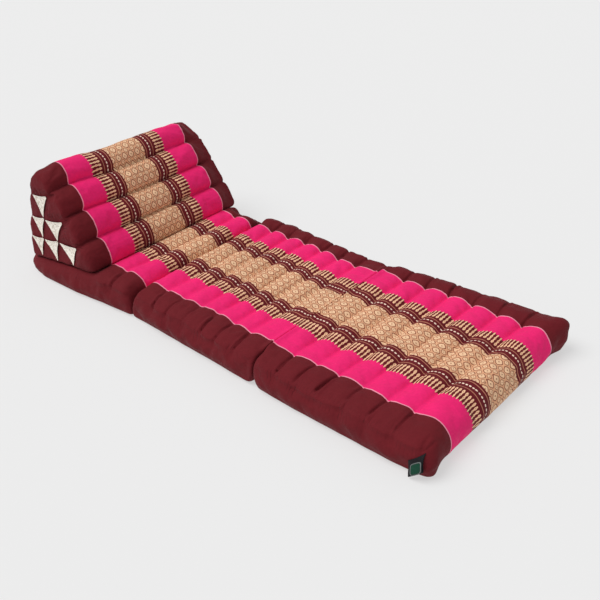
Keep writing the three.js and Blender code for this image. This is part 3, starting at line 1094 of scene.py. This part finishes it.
def pressUnder(piece, above, gap):  # the mat gives way under what lies on it
    places = readPlaces(piece)
    surface = BVHTree.FromObject(above, bpy.context.evaluated_depsgraph_get())
    up = Vector((0, 0, 1))
    for index in np.flatnonzero(places[:, 2] > 0.02):
        x, y, z = places[index]
        hit = surface.ray_cast(Vector((x, y, -0.1)), up)[0]
        if hit is not None and hit.z - gap < z:
            places[index][2] = hit.z - gap
    writePlaces(piece, places)


def makePaddedPieces():
    headrest = makeHeadrest()
    mapHeadrest(headrest)
    finishPadded(headrest, headrestPlan["node"])
    for name, section in matSections.items():
        piece = makeMatSection(name)
        if name == "matBack":
            bpy.context.view_layer.update()
            pressUnder(piece, headrest, 0.0006)
        mapMatSection(piece, section)
        finishPadded(piece, section["node"])
    return headrest


headrest = makePaddedPieces()

# White facings, stretched over the cells of the grid at both ends of the headrest

facingStyle = {
    "points": 60,
    "rings": 11,
    "thickness": 0.0010,
    "lift": 0.0009,  # above the tube ends below
    "rim": 0.0020,
    "rimWidth": 0.0024,
    "topHollow": 0.0030,  # how far the upper edge draws in
    "frontHollow": 0.0042,
    "knob": 0.0034,
    "deepest": 0.0025,  # how far below the end plane the cloth may follow
    "earDrawn": (0.002, 0.0, 0.010, 0.0, 0.0, 0.006),  # how far each ear is drawn in
    "thread": 0.0012,
    "cloth": linear(250, 243, 232),
    "specks": linear(212, 202, 188),
}


def facingOutline(corners, drawn):
    back, ear, foot = (np.array(corners[name]) for name in ("back", "ear", "foot"))
    heart = (back + ear + foot) / 3
    ear = ear + (heart - ear) / np.linalg.norm(heart - ear) * drawn
    out = (ear - heart) / np.linalg.norm(ear - heart)
    aside = np.array((-out[1], out[0]))
    knob = facingStyle["knob"]
    earTop = ear + aside * knob - out * knob * 0.5
    earTip = ear + out * knob * 0.35
    earLow = ear - aside * knob - out * knob * 0.5

    def edge(first, last, hollow, count):
        run = last - first
        inward = np.array((-run[1], run[0])) / np.linalg.norm(run)
        if inward @ (heart - first) < 0:
            inward = -inward
        shares = np.linspace(0, 1, count, endpoint=False)
        return [first + run * s + inward * hollow * 4 * s * (1 - s) for s in shares]

    third = facingStyle["points"] // 3
    outline = edge(back, earTop, facingStyle["topHollow"], third - 2)
    outline += edge(earTop, earTip, -0.0006, 2)
    outline += edge(earTip, earLow, -0.0006, 2)
    outline += edge(earLow, foot, facingStyle["frontHollow"], third - 2)
    outline += edge(foot, back, 0.0005, third)
    return np.array(outline), heart


def cutFacing(name):  # a disc of rings, which is spread over the outline later
    deselectAll()
    bpy.ops.mesh.primitive_circle_add(vertices=facingStyle["points"], radius=1, fill_type="NGON")
    piece = bpy.context.object
    piece.name = name
    bpy.ops.object.mode_set(mode="EDIT")
    bpy.ops.mesh.select_all(action="SELECT")
    for ring in range(facingStyle["rings"]):
        bpy.ops.mesh.inset(thickness=0.9 / facingStyle["rings"])
    bpy.ops.mesh.poke()
    bpy.ops.object.mode_set(mode="OBJECT")
    return piece


def stretchFacing(piece, outline, heart, end, outward, surface):
    style = facingStyle
    flat = readPlaces(piece)
    radius = np.minimum(1, np.hypot(flat[:, 0], flat[:, 1]))
    share = np.mod(np.arctan2(flat[:, 1], flat[:, 0]) / (2 * math.pi), 1) * style["points"]
    closed = np.vstack([outline, outline[:1]])
    spread = np.c_[np.interp(share, range(len(closed)), closed[:, 0]),
                   np.interp(share, range(len(closed)), closed[:, 1])]
    eased = 1 - (1 - radius) ** 1.35
    spots = heart + (spread - heart) * eased[:, None]
    fromEdge = (1 - eased) * np.linalg.norm(spread - heart, axis=1) * 0.75
    rise = style["lift"] + style["rim"] * hump(fromEdge - style["rimWidth"] * 0.4, style["rimWidth"])
    originX, originY = matPlan["origin"]
    plane = end + originY - outward * style["deepest"]
    start = end + originY + outward * 0.05
    places = np.zeros((len(spots), 3))
    for index, (forward, up) in enumerate(spots):
        x = forward + headrestPlan["lean"] * end + originX
        hit = surface.ray_cast(Vector((x, start, up)), Vector((0, -outward, 0)))[0]
        y = hit.y if hit is not None else plane
        y = outward * max(outward * y, outward * plane)
        places[index] = (x, y + outward * rise[index], up)
    writePlaces(piece, places)


def makeFacing(side, number, surface):
    corners = facingCorners[side][number - 1]
    outline, heart = facingOutline(corners, facingStyle["earDrawn"][number - 1])
    outward = -1 if side == "near" else 1
    piece = cutFacing(f"facing{side.title()}{number}")
    stretchFacing(piece, outline, heart, headrestPlan[side + "End"], outward, surface)
    pick(piece)
    bpy.ops.object.mode_set(mode="EDIT")
    bpy.ops.mesh.select_all(action="SELECT")
    bpy.ops.mesh.normals_make_consistent(inside=False)
    bpy.ops.object.mode_set(mode="OBJECT")
    if np.mean(readNormals(piece)[:, 1]) * outward < 0:
        piece.data.flip_normals()
    applyModifier(piece, "SMOOTH", factor=0.3, iterations=1)
    applyModifier(piece, "SOLIDIFY", thickness=facingStyle["thickness"], offset=0)
    applyModifier(piece, "SUBSURF", levels=1, render_levels=1)
    shadeSmooth(piece)
    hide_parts(f"facing_{side}_{number}")
    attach(piece, "root")
    piece.data.materials.append(facingCloth)


def facingMaterial():
    material, tree, shader = newMaterial("facingCloth")
    place = tree.nodes.new("ShaderNodeTexCoord").outputs["Object"]
    upright = tree.nodes.new("ShaderNodeMapping")
    upright.inputs["Rotation"].default_value = (math.pi / 2, 0, 0)  # threads run along and up the end
    tree.links.new(place, upright.inputs["Vector"])
    threads = addGroup(tree, "threads", Cloth_Map=upright.outputs[0], Place=place,
                       Thread=facingStyle["thread"])
    specks = softStep(tree, noiseOf(tree, place, 230.0, Detail=2.0), 0.46, 0.66)
    colour = mixColour(tree, specks, facingStyle["cloth"], facingStyle["specks"])
    tree.links.new(shadeColour(tree, colour, threads.outputs["Shade"]), shader.inputs["Base Color"])
    tree.links.new(threads.outputs["Roughness"], shader.inputs["Roughness"])
    tree.links.new(bumpOf(tree, threads.outputs["Height"], 0.3, 0.0003), shader.inputs["Normal"])
    shader.inputs["Specular IOR Level"].default_value = 0.2
    return material


facingCloth = facingMaterial()


def makeFacings():
    bpy.context.view_layer.update()
    surface = BVHTree.FromObject(headrest, bpy.context.evaluated_depsgraph_get())
    for side in ("near", "far"):
        for number in range(1, 7):
            makeFacing(side, number, surface)
    print("facings are stretched")


makeFacings()

# The folded ribbon tab on the near side of the foot section

tabStyle = {
    "columns": 18,
    "rows": 26,
    "thickness": 0.0007,
    "gape": 0.0032,  # between the ribbon's two leaves at the fold
    "curl": 0.0045,
    "belly": 0.0014,
    "clear": 0.0012,  # off the mat's side
    "high": ((0.6165, 0.0400), (0.6470, 0.0660)),  # the sewn edge, from left to right
    "low": ((0.6240, 0.0035), (0.6545, 0.0290)),  # the fold
    "thread": 0.0008,
    "patchMiddle": (0.018, 0.024),
    "patchSize": (0.0115, 0.0120),
    "ribbon": linear(22, 21, 24),
    "patch": linear(16, 66, 48),
    "edging": linear(150, 160, 156),
}


def tabMaterial():
    style = tabStyle
    material, tree, shader = newMaterial("tabRibbon")
    clothMap = clothAttribute(tree, "clothMap").outputs["Vector"]
    place = tree.nodes.new("ShaderNodeTexCoord").outputs["Object"]
    threads = addGroup(tree, "threads", Cloth_Map=clothMap, Place=place, Thread=style["thread"])
    powers = []
    for share, middle, size in zip(partsOf(tree, clothMap), style["patchMiddle"], style["patchSize"]):
        aside = calc(tree, "ABSOLUTE", calc(tree, "SUBTRACT", share, middle))
        powers.append(calc(tree, "POWER", calc(tree, "DIVIDE", aside, size), 4.0))
    fromPatch = calc(tree, "POWER", calc(tree, "ADD", *powers), 0.25)
    green = inverse(tree, softStep(tree, fromPatch, 0.88, 0.98))
    edging = calc(tree, "MULTIPLY", stripe(tree, fromPatch, 1.00, 1.14, 0.04), 0.55)
    colour = mixColour(tree, green, style["ribbon"], style["patch"])
    colour = mixColour(tree, edging, colour, style["edging"])
    tree.links.new(shadeColour(tree, colour, threads.outputs["Shade"]), shader.inputs["Base Color"])
    tree.links.new(bumpOf(tree, threads.outputs["Height"], 0.35, 0.0002), shader.inputs["Normal"])
    shader.inputs["Roughness"].default_value = 0.55
    shader.inputs["Specular IOR Level"].default_value = 0.15
    return material


def makeTab(foot):
    style = tabStyle
    low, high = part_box("side_tab")
    width = high.x - low.x
    drop = high.z - low.z
    deselectAll()
    bpy.ops.mesh.primitive_grid_add(x_subdivisions=style["columns"], y_subdivisions=style["rows"], size=2)
    piece = bpy.context.object
    piece.name = "sideTab"
    flat = readPlaces(piece)
    across = (flat[:, 0] + 1) / 2
    run = flat[:, 1] + 1  # 0 to 1 down the front leaf, 1 to 2 up the back one
    down = 1 - np.abs(run - 1)
    front = smoothRise(-run, -1.08, -0.92)
    ends = [np.array(style[name]) for name in ("high", "low")]
    sewn, folded = (left + (right - left) * across[:, None] for left, right in ends)
    spots = sewn + (folded - sewn) * down[:, None]
    bpy.context.view_layer.update()
    surface = BVHTree.FromObject(foot, bpy.context.evaluated_depsgraph_get())
    toward = Vector((0, 1, 0))
    hits = [surface.ray_cast(Vector((x, low.y - 0.1, z)), toward)[0] for x, z in spots]
    side = np.array([hit.y if hit is not None else low.y for hit in hits])
    y = side + (side.min() - side) * np.clip(down * 1.6, 0, 1) - style["clear"]
    y -= (style["thickness"] * 1.3 + style["gape"] * np.sin(down * math.pi * 0.5)) * front
    y -= style["curl"] * down ** 2 * (1 - across) + style["belly"] * np.sin(across * math.pi) * down
    writePlaces(piece, np.c_[spots[:, 0], y, spots[:, 1]])
    writeClothMap(piece, across * width, down * drop, np.ones(len(y)))
    applyModifier(piece, "SOLIDIFY", thickness=style["thickness"], offset=0)
    applyModifier(piece, "SUBSURF", levels=1, render_levels=1)
    shadeSmooth(piece)
    piece.data.materials.append(tabMaterial())
    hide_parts("side_tab")
    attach(piece, "root")
    print("tab is folded")


makeTab(bpy.data.objects["matFoot"])

# Floor and studio light

studio = {
    "floor": 40.0,
    "world": 0.46,
    "sun": 2.02,
    "sunAngle": 40.0,
    "sunFrom": (-0.34, -0.39, 0.855),
    "floorGlow": 0.535,  # keeps the floor evenly pale
}


def makeStudio():
    deselectAll()
    bpy.ops.mesh.primitive_grid_add(x_subdivisions=8, y_subdivisions=8, size=studio["floor"])
    floor = bpy.context.object
    floor.name = "studioFloor"
    material, tree, shader = newMaterial("paleFloor")
    shader.inputs["Base Color"].default_value = linear(149, 149, 149)
    shader.inputs["Emission Color"].default_value = (1, 1, 1, 1)
    shader.inputs["Emission Strength"].default_value = studio["floorGlow"]
    shader.inputs["Roughness"].default_value = 0.9
    shader.inputs["Specular IOR Level"].default_value = 0.1
    floor.data.materials.append(material)
    world = bpy.data.worlds.new("softWorld")
    world.use_nodes = True
    world.node_tree.nodes["Background"].inputs["Color"].default_value = (1, 1, 1, 1)
    world.node_tree.nodes["Background"].inputs["Strength"].default_value = studio["world"]
    scene.world = world
    turn = Vector(studio["sunFrom"]).to_track_quat("Z", "Y").to_euler()
    bpy.ops.object.light_add(type="SUN", location=(0, -2, 3), rotation=turn)
    sun = bpy.context.object
    sun.name = "softKey"
    sun.data.energy = studio["sun"]
    sun.data.angle = math.radians(studio["sunAngle"])
    scene.view_settings.view_transform = "Standard"


makeStudio()
print("studio is lit")
